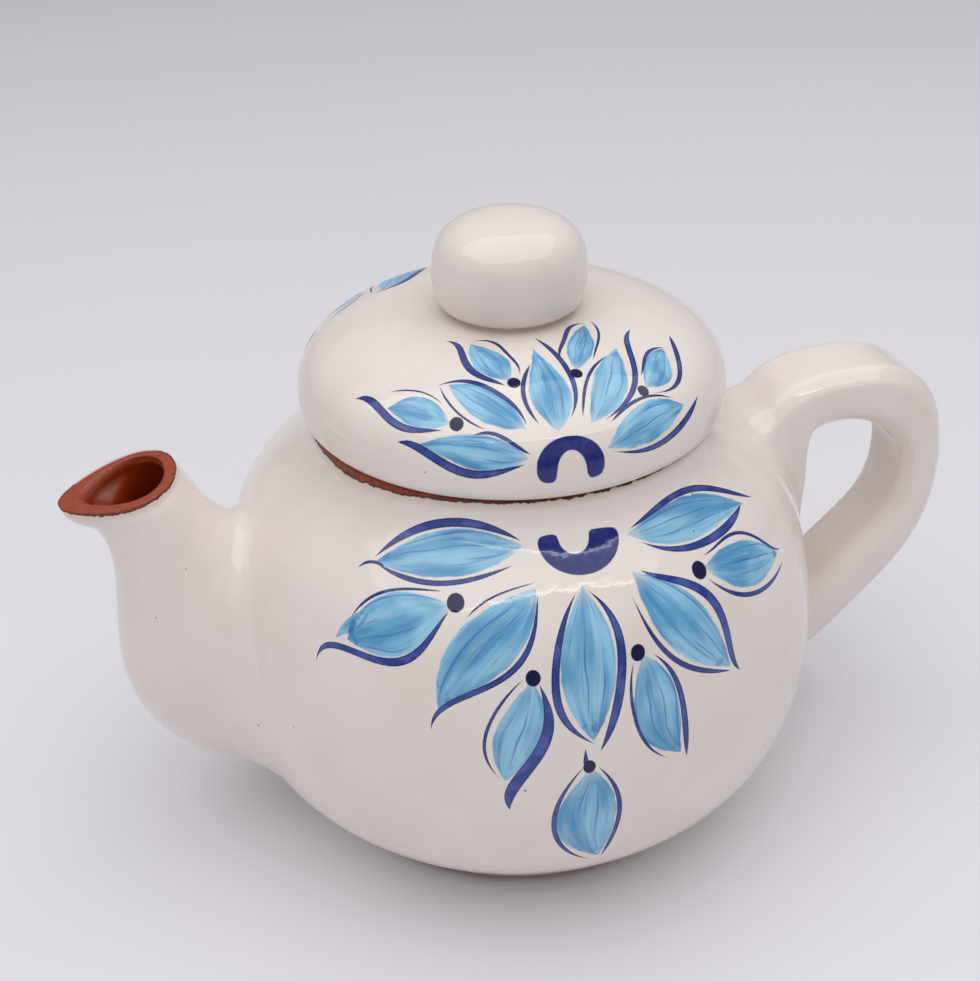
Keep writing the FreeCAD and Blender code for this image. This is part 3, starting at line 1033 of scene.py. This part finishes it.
BODY_STROKES = (
    (((-9.6, 3.5), (-18, 8.6), (-28, 11), (-36, 10), (-42.4, 6.8)), 0.95, 0.1),
    (((-12.2, -1.1), (-20, -2.5), (-28, -2.2), (-36, 0.9), (-42, 5.7)), 0.65, 0.1),
    (((-40, 4.4), (-42.5, 6), (-44.5, 6.3), (-46.6, 5.4)), 0.42, -0.2),
    (((-27.2, -4.2), (-35, -2), (-43, -1.7), (-49.9, -5.9)), 0.4, 0.2),
    (((-27, -8.2), (-33, -14.1), (-42, -16.9), (-54, -11.1), (-61.8, -13.9)), 1.0, 0.05),
    (((-7.7, -5.4), (-14, -6.3), (-19, -7.6), (-24.1, -10.9)), 0.28, 0.3),
    (((-8.3, -7.6), (-11, -17), (-19, -24.6), (-30, -28), (-36.1, -34.2)), 0.75, 0.2),
    (((-13.3, -24.7), (-20, -30.5), (-24.3, -38), (-24.2, -44), (-21.8, -48.7)), 0.45, 0.1),
    (((-10.9, -26.4), (-9.5, -34), (-12, -42), (-17.6, -49), (-20.7, -57.8)), 1.5, 0.3),
    (((-0.2, -8.8), (-5.5, -18.5), (-7.4, -29), (-5, -37.5), (1.2, -43)), 0.9, 0.15),
    (((1.8, -8.4), (6.3, -15), (7.5, -25), (5.8, -35), (1.6, -45)), 1.05, 0.2),
    (((-1.4, -47.3), (-8, -56), (-10, -64.5), (-7.5, -73), (1.7, -81.8)), 0.7, 0.0),
    (((0.8, -48.2), (5.5, -55), (7.2, -63), (6, -72), (4, -81.2)), 0.7, 0.1),
    (((-1.7, -43.2), (-1.75, -45.5), (-1.6, -48)), 0.5, 0.8),
    (((10.4, -24.4), (9.4, -33), (11, -40.5), (14.5, -46.5), (20.2, -50.3)), 0.45, 0.0),
    (((14.3, -23.6), (19.3, -28.5), (22.3, -35.5), (24, -44), (25.1, -51)), 0.8, 0.35),
    (((11.5, -11.2), (15, -20), (21, -26.5), (29, -29.9), (37.2, -31)), 0.65, 0.3),
    (((14.3, -5.8), (25, -10), (33, -17), (36, -25), (40.4, -31.5)), 1.1, 0.1),
    (((30.2, -4.3), (38, -0.6), (46, 0.4), (52, -2), (58.4, -2.6)), 0.48, 0.1),
    (((30.2, -9), (36, -12.6), (43, -13.8), (51, -11.8), (59.2, -5.2)), 0.62, 0.0),
    (((13.8, 3.1), (22, 7.6), (31, 11.4), (42, 11.8), (52.6, 10.3)), 0.8, 0.1),
    (((15.6, 0.5), (24, -2.2), (33, -0.9), (41, 3), (47.2, 8.4)), 0.95, 0.35),
)
BODY_DABS = ((-25.6, -6.9, 2.2), (-11.9, -25.2, 1.9), (-0.9, -48.3, 1.8), (11.3, -23.2, 1.95),
             (28.9, -7.4, 2.2), (32.5, 10.5, 0.3), (30.2, 1.6, 0.28))
print(len(BODY_WASHES), "washes and", len(BODY_STROKES), "strokes on the body")

# %% [markdown]
# The lid's flower opens upwards, over a horseshoe that stands on its arms. Its upper row of small petals is
# listed apart, because only the front of the lid has it.

# %% The flower on the lid
LID_WASHES = (
    ((-7.6, -2), (-28.8, 6.2), ((-13, -3.3), (-20, -1)), ((-14, 3.5), (-22, 5.8))),
    ((-21, 8), (-32.8, 16), ((-25, 8.1), (-30, 11.2)), ((-23, 14), (-28.5, 17))),
    ((-7, 3.4), (-20, 18), ((-12.5, 5), (-18, 11)), ((-9.2, 10.5), (-14.3, 16.3))),
    ((-1, 1.8), (-0.4, 26), ((-4.3, 7), (-3.4, 17)), ((2.9, 7), (2.5, 17))),
    ((5.6, 2.8), (17.4, 22.8), ((6.9, 9), (11.8, 17.8)), ((12.8, 6.5), (16.6, 14.5))),
    ((8.3, -2.1), (27.7, 6.9), ((13, 3.8), (21.5, 7.7)), ((14, -2.2), (22.5, 1.2))),
)
LID_STROKES = (
    (((-7, -1.5), (-11, 2), (-14.5, 4.3), (-17.7, 4.4)), 0.45, 0.0),
    (((-8.1, -2.9), (-15, -3.1), (-21.5, -1), (-27.5, 4.6), (-32.6, 8.3)), 0.8, 0.3),
    (((-21.5, 12.4), (-24, 16.3), (-28, 19), (-32, 20)), 0.26, 0.2),
    (((-22.6, 7.1), (-28, 9), (-32, 12.3), (-35, 18), (-39.3, 21.6)), 0.85, 0.3),
    (((-6.8, 3.7), (-8.8, 10), (-13, 15.6), (-18, 18.4), (-22.6, 18.1)), 0.6, 0.15),
    (((-14.3, 4.7), (-18.5, 9), (-20.5, 13), (-21.6, 18.3)), 0.3, 0.0),
    (((1.6, 4), (4.3, 10), (4.6, 17), (3.5, 23.5), (0.9, 30)), 0.62, 0.2),
    (((-4.2, 3.6), (-5.9, 9), (-5.2, 14.5), (-2.3, 20.2)), 0.5, 0.1),
    (((4.2, 4), (6.3, 10.5), (9.5, 16), (14.8, 20.4)), 0.4, 0.0),
    (((9.6, 2.6), (15, 6.6), (20, 8.3), (25.8, 7.7)), 0.4, -0.3),
    (((8.8, -2.5), (16, -2.6), (23.5, 0.3), (28.5, 4.5), (32.4, 9.7)), 0.6, 0.5),
)
LID_DABS = ((-19.9, 7.7, 1.65), (26.6, 3.2, 0.35))
UPPER_WASHES = (
    ((-7.6, 15.8), (-13.2, 31), ((-12.3, 18.8), (-14.2, 25.5)), ((-6.3, 21), (-9.3, 27.6))),
    ((6.2, 16.4), (13.8, 33.2), ((6, 21.5), (9.3, 29)), ((10.2, 19.5), (13.6, 26.5))),
    ((19.2, 10.4), (28.2, 22.2), ((20.3, 15.3), (24.3, 20.5)), ((23.5, 10.7), (27.4, 15.5))),
)
UPPER_STROKES = (
    (((-5.5, 16.6), (-5.8, 23.5), (-7.5, 29), (-10.5, 31.5), (-13.9, 31.7)), 0.45, 0.2),
    (((-8.8, 14.6), (-13, 18.5), (-15.3, 23.5), (-15.7, 29.5), (-18.4, 33.5)), 0.85, 0.0),
    (((4.4, 20.2), (6.3, 26), (9, 31), (12, 33.6), (14.6, 33.8)), 0.55, 0.2),
    (((10.9, 19), (14, 25), (16, 30.5), (15.6, 35)), 0.35, 0.1),
    (((8.2, 3.1), (14, 7), (17.5, 12), (19.3, 18.5), (23.7, 29.6)), 0.68, 0.25),
    (((19.3, 13.4), (22, 18.3), (25, 21.5), (28.6, 22.3)), 0.42, 0.2),
    (((20.3, 9), (25.5, 10.3), (28.7, 14), (30.5, 20), (31.7, 27)), 0.62, 0.35),
)
UPPER_DABS = ((-7, 15.1, 1.6), (6.1, 15.5, 1.5), (18.5, 9.5, 1.45))
print(len(LID_WASHES + UPPER_WASHES), "washes and", len(LID_STROKES + UPPER_STROKES), "strokes on the lid")

# %% [markdown]
# In the middle of either flower sits a horseshoe in thick navy. It is the space between two ovals, cut off
# level at the ends of its two arms, with the corners softened. The body's horseshoe opens upwards; the
# lid's is smaller and stands on its arms.

# %% The horseshoe
arm_softness = 2.6


def oval_depth(sheet, place, middle, reach):
    """How deep a place lies inside an oval, in millimetres, measured along its shorter reach."""
    off = sheet.vector("DIVIDE", sheet.vector("SUBTRACT", place, middle + (0,)), reach + (1,))
    return sheet.math("MULTIPLY", sheet.math("SUBTRACT", 1.0, sheet.vector("LENGTH", off)), min(reach))


def horseshoe(sheet, place, outer, inner, arm_end):
    """The ink of a horseshoe between two ovals, as (middle, reach), with its arms cut off at a height."""
    up = sheet.split(place)["Y"]
    ring = sheet.math("MINIMUM", oval_depth(sheet, place, *outer),
                      sheet.math("MULTIPLY", oval_depth(sheet, place, *inner), -1.0))
    height, way = arm_end
    ends = sheet.math("MULTIPLY", sheet.math("SUBTRACT", height, up), way)
    return sheet.math("SMOOTH_MIN", ring, ends, arm_softness)


BODY_HORSESHOE = (((2.4, 2.6), (9.1, 8.2)), ((1.3, 2.8), (3.2, 3.4)), (4.2, 1.0))
LID_HORSESHOE = (((0.6, -4.6), (7.2, 5.6)), ((0.7, -5.8), (3.0, 3.9)), (-6.9, -1.0))
print("the body's horseshoe is", 2 * BODY_HORSESHOE[0][1][0], "mm wide")

# %% [markdown]
# ## Paint on glaze
# The flower's colours go on in layers, as they were painted: the wash first, thin and uneven, darker along
# the brush's streaks and where it pooled towards the tip; then cobalt lines, mottled and lighter where the
# brush ran dry; then the horseshoe and the navy dabs. A picture could be projected onto the pot instead,
# but nodes stay sharp from any distance.

# %% The colours of the paint
LIGHT_WASH = srgb(142, 203, 232)
DEEP_WASH = srgb(70, 154, 200)
STREAK = srgb(4, 96, 180)
COBALT = srgb(36, 60, 138)
COBALT_EDGE = srgb(16, 26, 94)
DRY_COBALT = srgb(74, 90, 166)


def petal_water(sheet, flow, place):
    """A wash's colour and how well it covers: broad tones, thin veins and a dark pool towards the tip."""
    between, way, seed = sheet.split(flow)
    broad = sheet.noise(sheet.vector("MULTIPLY", flow, (2.2, 1.6, 1.0)), 1.0, 2, 0.5)
    hairs = sheet.noise(sheet.vector("MULTIPLY", flow, (9.0, 1.6, 1.0)), 1.0, 3, 0.6)
    wander = sheet.noise(sheet.vector("MULTIPLY", flow, (1.1, 1.8, 1.0)), 1.0, 1, 0.5)
    count = sheet.math("MULTIPLY_ADD", between, 3.4, sheet.math("MULTIPLY", seed, 0.31))
    off_vein = sheet.math("PINGPONG", sheet.math("MULTIPLY_ADD", wander, 1.1, count), 0.5)
    patches = sheet.noise(sheet.vector("MULTIPLY", flow, (2.6, 2.2, 1.3)), 1.0, 2, 0.5)
    loaded = sheet.step(patches, 0.36, 0.6)
    vein = sheet.math("MULTIPLY", sheet.math("SUBTRACT", 1.0, sheet.step(off_vein, 0.02, 0.1)), loaded)
    near_tip = sheet.step(way, 0.76, 0.95)
    pool = sheet.math("MULTIPLY", near_tip, sheet.step(sheet.noise(place, 0.35, 2), 0.5, 0.62))
    water = sheet.mix(sheet.step(broad, 0.36, 0.66), LIGHT_WASH, DEEP_WASH)
    water = sheet.mix(sheet.math("MULTIPLY", sheet.step(hairs, 0.52, 0.72), 0.45), water, STREAK)
    water = sheet.mix(sheet.math("MULTIPLY", sheet.math("MAXIMUM", vein, pool), 0.72), water, STREAK)
    cover = sheet.math("MULTIPLY", sheet.math("MULTIPLY_ADD", sheet.step(hairs, 0.3, 0.5), 0.16, 0.8),
                       sheet.math("MULTIPLY_ADD", sheet.step(way, 0.0, 0.16), 0.45, 0.55))
    return water, cover


def brushed(sheet, place, ink):
    """The colour of a brush line: dark along its edges, lighter and grainy where the paint was thin."""
    patches = sheet.noise(place, 0.16, 2, 0.5)
    grain = sheet.noise(place, 2.6, 3, 0.7)
    dry = sheet.math("MULTIPLY", sheet.step(patches, 0.44, 0.62), 0.85)
    mottle = sheet.math("MULTIPLY", sheet.step(grain, 0.42, 0.72), 0.3)
    middle_tone = sheet.mix(sheet.math("ADD", dry, mottle, clamp=True), COBALT, DRY_COBALT)
    return sheet.mix(sheet.step(ink, 0.12, 0.52), COBALT_EDGE, middle_tone)


print("the thinnest wash is", [round(c, 2) for c in LIGHT_WASH[:3]])

# %% [markdown]
# Each layer covers the one below it by how deep a place lies in the ink, frayed a little by noise, as wet
# paint frays on raw glaze. The two flowers share one function and differ only in their lists and their
# charts.

# %% Painting a flower
SHOE_BLUE = srgb(16, 28, 108)
NAVY = srgb(0, 2, 60)
seed_step = 3.7
dab_squeeze = 1.12
behind = 100.0


def both_rows(sheet, side, depths, kept):
    """The deepest of the depths. Those after the first few, the upper row, are painted on the front only."""
    lower = deepest(sheet, depths[:kept])
    if kept == len(depths):
        return lower
    upper = sheet.math("MINIMUM", deepest(sheet, depths[kept:]), sheet.math("MULTIPLY", side, behind))
    return sheet.math("MAXIMUM", lower, upper)


def paint(sheet, cream, place, side, flower):
    """The cream of the glaze with a flower painted on it."""
    (washes, upper_washes), (strokes, upper_strokes), (dabs, upper_dabs), shoe = flower
    wet, flows = [], []
    for number, (foot, tip, left, right) in enumerate(washes + upper_washes):
        made = wash(sheet, place, foot, tip, left, right, seed_step * (number + 1))
        wet.append(made["Depth"])
        flows.append(made["Flow"])
    flow = flows[0]
    for other in flows[1:]:
        flow = sheet.vector("ADD", flow, other)
    tremble = sheet.math("MULTIPLY_ADD", sheet.noise(place, 0.3, 2), 0.9, -0.35)
    wash_edge = sheet.math("ADD", both_rows(sheet, side, wet, len(washes)), tremble)
    water, cover = petal_water(sheet, flow, place)
    colour = sheet.mix(sheet.math("MULTIPLY", cover, sheet.step(wash_edge, 0.0, 0.45)), cream, water)

    fray = sheet.math("MULTIPLY_ADD", sheet.noise(place, 3.2, 3, 0.7), 0.3, -0.15)
    lines = [stroke(sheet, place, *line) for line in strokes + upper_strokes]
    ink = sheet.math("ADD", both_rows(sheet, side, lines, len(strokes)), fray)
    colour = sheet.mix(sheet.step(ink, 0.0, 0.16), colour, brushed(sheet, place, ink))

    arch = sheet.math("ADD", horseshoe(sheet, place, *shoe), fray)
    arch_thin = sheet.math("MULTIPLY", sheet.step(sheet.noise(place, 0.4, 3, 0.6), 0.42, 0.75), 0.7)
    colour = sheet.mix(sheet.step(arch, 0.0, 0.2), colour, sheet.mix(arch_thin, SHOE_BLUE, COBALT))
    narrow = sheet.vector("MULTIPLY", place, (dab_squeeze, 1.0, 1.0))
    spots = [sheet.math("SUBTRACT", radius, sheet.vector("DISTANCE", narrow, (dab_squeeze * x, y, 0)))
             for x, y, radius in dabs + upper_dabs]
    dab = sheet.math("ADD", both_rows(sheet, side, spots, len(dabs)), fray)
    return sheet.mix(sheet.step(dab, 0.0, 0.18), colour, NAVY)


BODY_FLOWER = ((BODY_WASHES, ()), (BODY_STROKES, ()), (BODY_DABS, ()), BODY_HORSESHOE)
LID_FLOWER = ((LID_WASHES, UPPER_WASHES), (LID_STROKES, UPPER_STROKES), (LID_DABS, UPPER_DABS),
              LID_HORSESHOE)
touches = 1 + sum(len(row) for kind in LID_FLOWER[:3] for row in kind)
print("the lid is painted in", touches, "touches of the brush")

# %% [markdown]
# ## Glaze over clay
# The pot is red earthenware under a cream tin glaze. The glaze is glassy and a little uneven, so its
# highlights wander; it holds a few dark specks of iron; it stops in a ragged line before the bare clay,
# where a dark, burnt seam shows. On the clay band under the lid the same dark colour is painted shade. The
# bare clay is matt and grainy, and the brown insides have a thin clear glaze of their own. The specks are
# the middles of Voronoi cells, each with a size of its own, and the unevenness is a bump, which needs no
# finer mesh.

# %% Specks and bumps
SPECK = srgb(70, 54, 48)


def specked(sheet, spot, cream):
    """The glaze with dark specks of iron in it, each as large as chance had it."""
    cells = sheet.node("ShaderNodeTexVoronoi", {"Vector": spot, "Scale": 0.115})
    size = sheet.math("MULTIPLY_ADD", sheet.split(cells.outputs["Color"])[0], 0.036, 0.006)
    off_speck = sheet.math("DIVIDE", cells.outputs["Distance"], size)
    speck = sheet.math("SUBTRACT", 1.0, sheet.step(off_speck, 0.6, 1.1))
    return sheet.mix(sheet.math("MULTIPLY", speck, 0.85), cream, SPECK)


def uneven(sheet, spot, grit, bared):
    """The surface's bumps: slow waves and ripples in the glaze, grit in the clay, which lies lower."""
    wavy = sheet.noise(spot, 0.055, 2, 0.5)
    ripple = sheet.noise(spot, 0.32, 2, 0.5)
    relief = sheet.math("MULTIPLY_ADD", ripple, 0.035, sheet.math("MULTIPLY", wavy, 0.4))
    relief = sheet.math("MULTIPLY_ADD", sheet.math("MULTIPLY", grit, bared), 0.05, relief)
    relief = sheet.math("MULTIPLY_ADD", bared, -0.18, relief)
    return sheet.node("ShaderNodeBump", {"Height": relief, "Distance": MM, "Strength": 1.0}).outputs[0]


print("specks are coloured", [round(c, 3) for c in SPECK[:3]])

# %% [markdown]
# One function makes the material for every piece, with or without a flower: the cream first, then the paint
# and the specks, and the clay wherever a skin says that it is bare. A mix of two shaders would do as well,
# but one shader with mixed colours and roughness costs less to render.

# %% The glaze
CREAM = srgb(238, 229, 222)
CREAM_CLOUD = srgb(234, 223, 214)
CREAM_THIN = srgb(226, 208, 196)
CLAY = srgb(168, 68, 32)
CLAY_DARK = srgb(140, 58, 32)
# A burnt seam at the glaze's edge, also used as painted shade on the clay band under the lid.
SEAM_AND_SHADE = srgb(52, 20, 12)
BROWN = srgb(130, 42, 8)
glaze_roughness = 0.06
clay_roughness = 0.4
brown_roughness = 0.16
glaze_ior = 1.52


def glazed(name, flower=None, where=None):
    """Cream glaze over red clay, with a flower where one is given."""
    material = bpy.data.materials.new(name)
    material.use_nodes = True
    sheet = Sheet(material.node_tree)
    sheet.tree.nodes.clear()
    spot = in_millimetres(sheet)
    bare = sheet.node("ShaderNodeAttribute", attribute_name="bare").outputs["Fac"]
    inside = sheet.node("ShaderNodeAttribute", attribute_name="inside").outputs["Fac"]

    cloud = sheet.noise(spot, 0.035, 3, 0.55)
    cream = sheet.mix(sheet.step(cloud, 0.42, 0.7), CREAM, CREAM_CLOUD)
    cream = sheet.mix(sheet.step(bare, -2.2, -0.2), cream, CREAM_THIN)
    if flower:
        place, side = chart(sheet, **where)
        cream = paint(sheet, cream, place, side, flower)
    cream = specked(sheet, spot, cream)

    ragged = sheet.math("MULTIPLY_ADD", sheet.noise(spot, 0.55, 4, 0.65), 1.5, -0.75)
    edge = sheet.math("ADD", bare, ragged)
    grit = sheet.noise(spot, 1.1, 5, 0.7)
    clay = sheet.mix(sheet.step(grit, 0.35, 0.65), CLAY_DARK, CLAY)
    clay = sheet.mix(inside, clay, BROWN)
    # The dark burnt seam where the glaze stops; on the clay band under the lid the same dark colour is
    # painted shade.
    seam_and_shade = sheet.math("SUBTRACT", 1.0, sheet.step(edge, 0.1, 0.9))
    clay = sheet.mix(sheet.math("MULTIPLY", seam_and_shade, 0.85), clay, SEAM_AND_SHADE)
    bared = sheet.step(edge, -0.08, 0.12)
    colour = sheet.mix(bared, cream, clay)
    matt = sheet.math("MULTIPLY_ADD", inside, brown_roughness - clay_roughness, clay_roughness)
    rougher = sheet.math("SUBTRACT", matt, glaze_roughness)
    rough = sheet.math("MULTIPLY_ADD", bared, rougher, glaze_roughness)
    bumps = uneven(sheet, spot, grit, bared)
    shader = sheet.node("ShaderNodeBsdfPrincipled", {
        "Base Color": colour, "Roughness": rough, "Normal": bumps, "IOR": glaze_ior})
    sheet.node("ShaderNodeOutputMaterial", [shader.outputs[0]])
    print(name, "has", len(sheet.tree.nodes), "nodes")
    return material


plain_glaze = glazed("cream_glaze_plain")
body_glaze = glazed("cream_glaze_body_flower", BODY_FLOWER, BODY_CHART)
lid_glaze = glazed("cream_glaze_lid_flower", LID_FLOWER, LID_CHART)
for piece, finish in ((body, body_glaze), (lid, lid_glaze), (spout, plain_glaze), (handle, plain_glaze),
                      (knob, plain_glaze)):
    piece.data.materials.clear()
    piece.data.materials.append(finish)

# %% [markdown]
# ## The stage
# The pot stands in a light tent: a pale, faintly lilac ground that runs out of sight and a large soft light
# overhead. A plane would end in a hard horizon, so the ground is turned like a shallow bowl and curves up
# far behind the pot.

# %% The ground
PAPER = srgb(235, 233, 237)
PAPER_CLOUD = srgb(231, 229, 234)
paper_roughness = 0.75


def ground():
    """A wide pale ground that curves up far behind the pot."""
    flat_reach, rise, sides = 2.2, 1.6, 96
    curve = np.linspace(0, math.pi / 2, 12)
    profile = [(0, 0), (0.4, 0), (1.2, 0)]
    profile += [(flat_reach + rise * math.sin(a), rise * (1 - math.cos(a))) for a in curve]
    rings = turned(profile, sides)
    mesh = bpy.data.meshes.new("ground")
    points = np.concatenate(rings)
    faces = []
    for lower in range(1, len(rings) - 1):
        base = 1 + (lower - 1) * sides
        for i in range(sides):
            j = (i + 1) % sides
            faces.append((base + i, base + j, base + sides + j, base + sides + i))
    faces += [(0, 1 + (i + 1) % sides, 1 + i) for i in range(sides)]
    mesh.from_pydata(points.tolist(), [], faces)
    mesh.shade_smooth()
    sweep = bpy.data.objects.new("ground", mesh)
    bpy.context.scene.collection.objects.link(sweep)
    material = bpy.data.materials.new("ground_paper")
    material.use_nodes = True
    sheet = Sheet(material.node_tree)
    shader = material.node_tree.nodes["Principled BSDF"]
    spot = sheet.node("ShaderNodeTexCoord").outputs["Object"]
    tint = sheet.mix(sheet.noise(spot, 3.0, 2), PAPER, PAPER_CLOUD)
    sheet.put(shader.inputs["Base Color"], tint)
    sheet.put(shader.inputs["Roughness"], paper_roughness)
    mesh.materials.append(material)
    print("the ground reaches", round(flat_reach + rise, 1), "m")


ground()

# %% [markdown]
# A thin strip of light at the tent's front edge draws the bright streaks on the lid, the shoulder and the
# knob, and a broad, weak light in front opens up the shadows under the belly. A glossy glaze shows every
# lamp as a shape, so there are few of them and each is an area light.

# %% The lights
def softbox(name, place, aim, size, power):
    """A rectangular soft light at a place, turned to its aim."""
    lamp = bpy.data.lights.new(name, "AREA")
    lamp.shape = "RECTANGLE"
    lamp.size, lamp.size_y = size
    lamp.energy = power
    holder = bpy.data.objects.new(name, lamp)
    holder.location = place
    holder.rotation_euler = (Vector(aim) - Vector(place)).to_track_quat("-Z", "Y").to_euler()
    bpy.context.scene.collection.objects.link(holder)


middle = (0, 0, 0.07)
softbox("tent_top", place=(-0.1, -0.08, 1.25), aim=(-0.1, -0.08, 0), size=(2.4, 1.45), power=14.0)
softbox("front_strip", place=(0, -0.79, 1.2), aim=middle, size=(1.5, 0.025), power=0.8)
softbox("front_fill", place=(-0.25, -1.25, 0.85), aim=middle, size=(2.4, 0.95), power=1.9)
tent_tint = (0.86, 0.86, 0.89, 1)
tent_strength = 0.42
world = bpy.data.worlds.new("tent")
world.use_nodes = True
background = world.node_tree.nodes["Background"]
background.inputs["Color"].default_value = tent_tint
background.inputs["Strength"].default_value = tent_strength
bpy.context.scene.world = world
bpy.context.scene.view_settings.view_transform = "Standard"

# %% [markdown]
# ## The camera
# The photograph looks down at the pot from in front, turned a little towards the spout, and leans slightly.

# %% Place the camera
camera_place = Vector((-79.35, -294.38, 270.10)) * MM
look_turn = math.radians(14)
look_down = math.radians(31.55)
camera_roll = math.radians(-1.5)
lens_pixels = 1433
picture_side = 981
lens = bpy.data.cameras.new("view")
lens.sensor_width = 36
lens.lens = lens_pixels / picture_side * lens.sensor_width
lens.clip_start = 0.02
camera = bpy.data.objects.new("view", lens)
level = math.cos(look_down)
look = Vector((math.sin(look_turn) * level, math.cos(look_turn) * level, -math.sin(look_down)))
camera.location = camera_place
camera.rotation_mode = "QUATERNION"
camera.rotation_quaternion = look.to_track_quat("-Z", "Y") @ Quaternion((0, 0, 1), camera_roll)
bpy.context.scene.collection.objects.link(camera)
bpy.context.scene.camera = camera
print("lens", round(lens.lens, 2), "mm")

# %% [markdown]
# ## Finishing
# The skins follow the solids, so the dressed teapot is as large as the frame.

# %% Finish the scene
bpy.context.view_layer.update()
